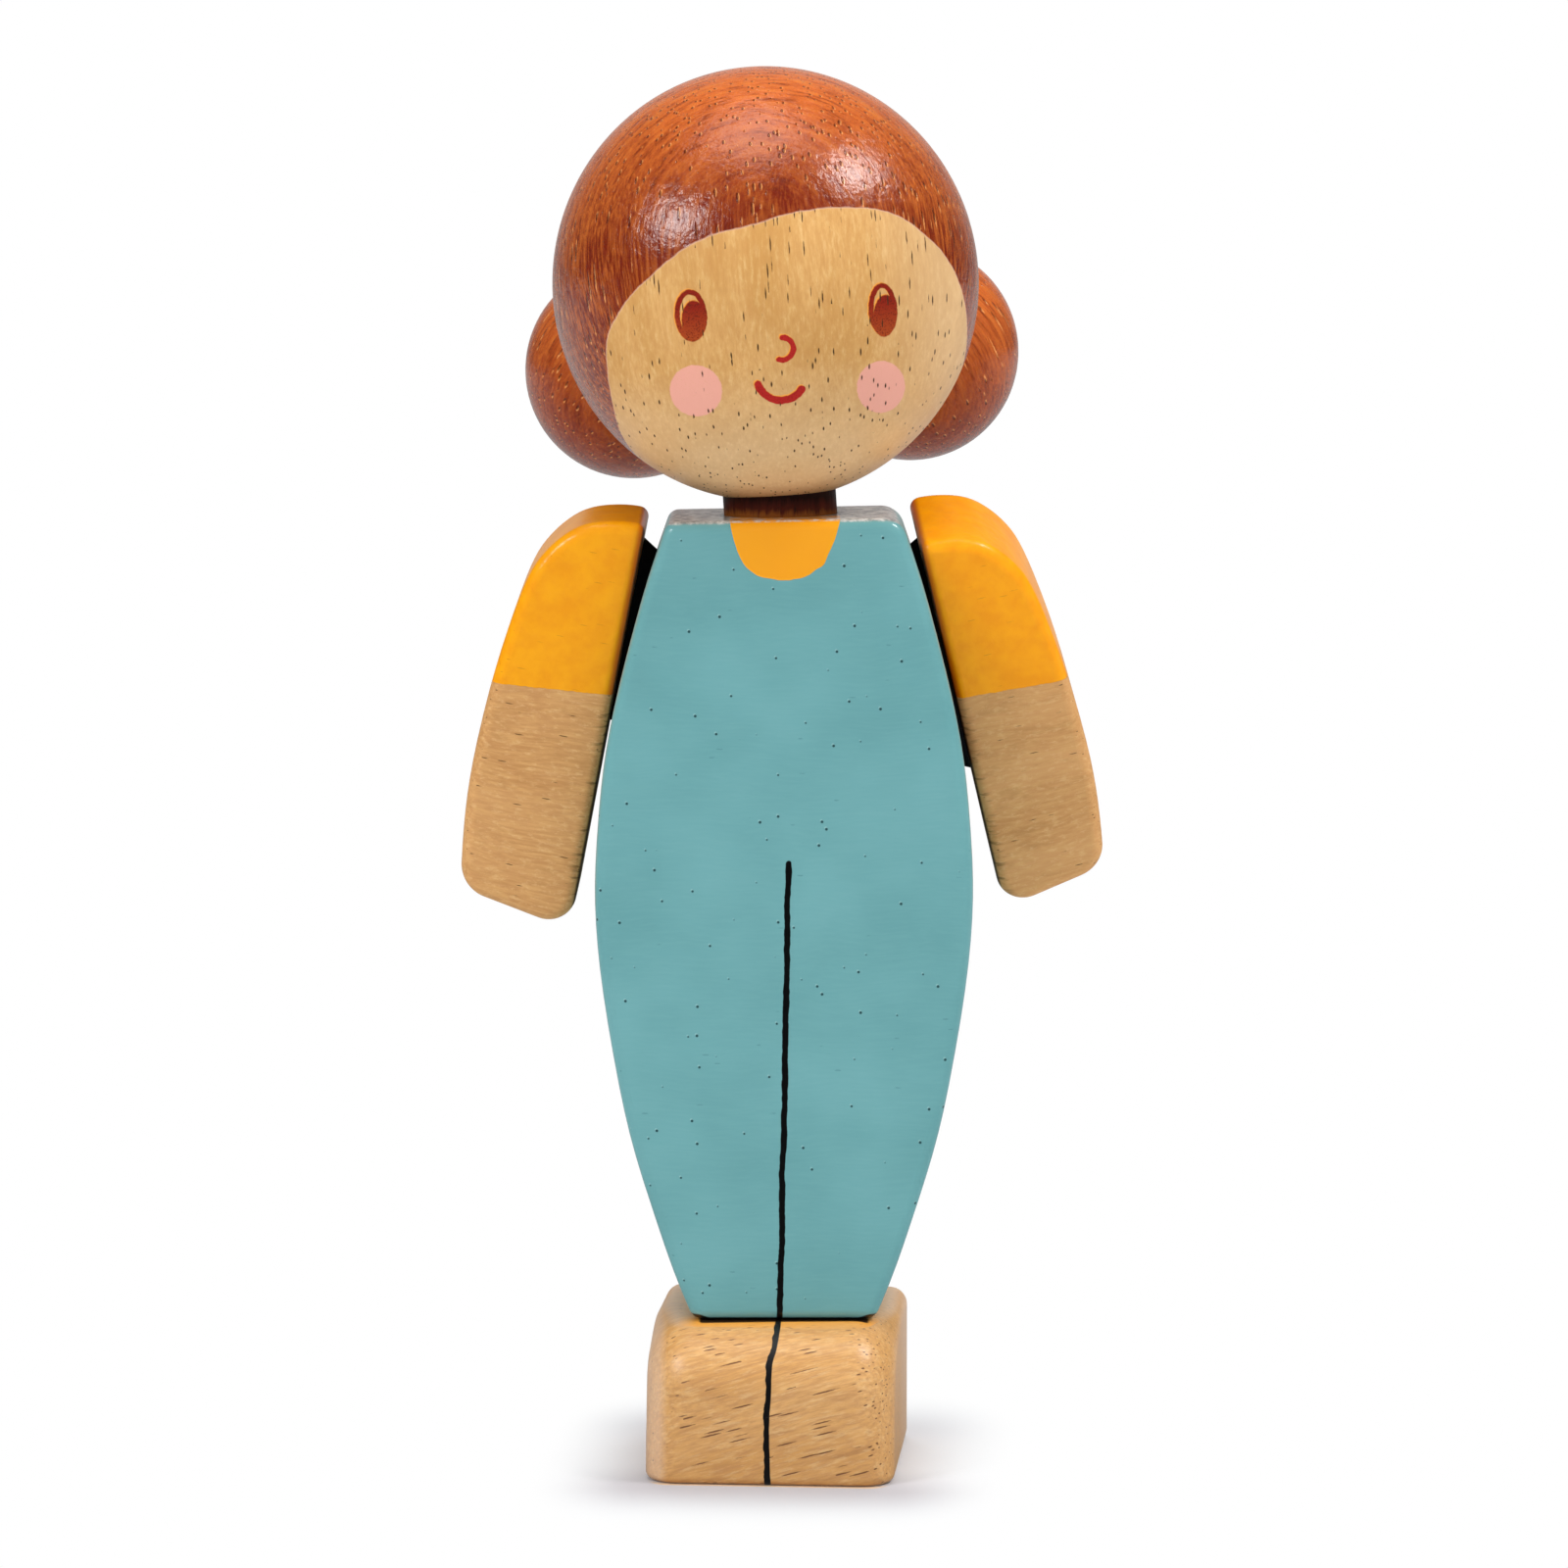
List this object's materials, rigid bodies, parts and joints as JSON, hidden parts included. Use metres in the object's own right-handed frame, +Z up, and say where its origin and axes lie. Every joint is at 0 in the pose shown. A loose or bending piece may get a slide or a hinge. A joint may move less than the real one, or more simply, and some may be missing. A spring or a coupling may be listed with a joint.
{
  "type": "peg doll",
  "caption": "Small painted wooden doll that stands on a foot block, with a ball head, hair buns and flat arms that swing at the shoulders.",
  "frame": {"origin": "on the ground, under the middle of the body plank", "axes": "+Z up along the body, -Y the way the face looks, +X towards the viewer's right"},
  "size_m": [0.0458, 0.0414, 0.099],
  "materials": {
    "lacquered_body": "satin blue-green paint all over, with a yellow collar at the top of the front and a black painted line down the middle",
    "lacquered_foot": "clear lacquer on bare wood, one black painted line down the front",
    "neck_wood": "turned dowel stained red-brown",
    "lacquered_head": "glossy red-brown stain for hair, bare lacquered wood for the face",
    "lacquered_hair": "glossy red-brown stain",
    "dowel_wood": "plain turned beech",
    "lacquered_arm": "yellow painted sleeve and bare hand under clear lacquer",
    "black_rubber": "matt moulded rubber",
    "elastic_cord": "woven cover over a rubber core"
  },
  "bodies": {
    "torso": {"body_plank": "lacquered_body", "foot_block": "lacquered_foot", "foot_dowel_left": "dowel_wood", "foot_dowel_right": "dowel_wood", "neck_dowel": "neck_wood", "head_ball": "lacquered_head", "hair_bun_left": "lacquered_hair", "hair_bun_right": "lacquered_hair", "bun_dowel_left": "dowel_wood", "bun_dowel_right": "dowel_wood", "shoulder_cord": "elastic_cord", "shoulder_washer_left": "black_rubber", "shoulder_washer_right": "black_rubber"},
    "arm_left": {"arm_left": "lacquered_arm", "shoulder_bush_left": "dowel_wood"},
    "arm_right": {"arm_right": "lacquered_arm", "shoulder_bush_right": "dowel_wood"}
  },
  "joints": [
    {"name": "shoulder_left", "type": "hinge", "parent": "torso", "child": "arm_left", "pos_m": [-0.01042, 0, 0.06305], "axis": [-0.9823, 0, 0.1874], "range_deg": [-85, 123]},
    {"name": "shoulder_right", "type": "hinge", "parent": "torso", "child": "arm_right", "pos_m": [0.01008, 0, 0.06305], "axis": [-0.9732, 0, -0.23], "range_deg": [-74, 142]}
  ]
}
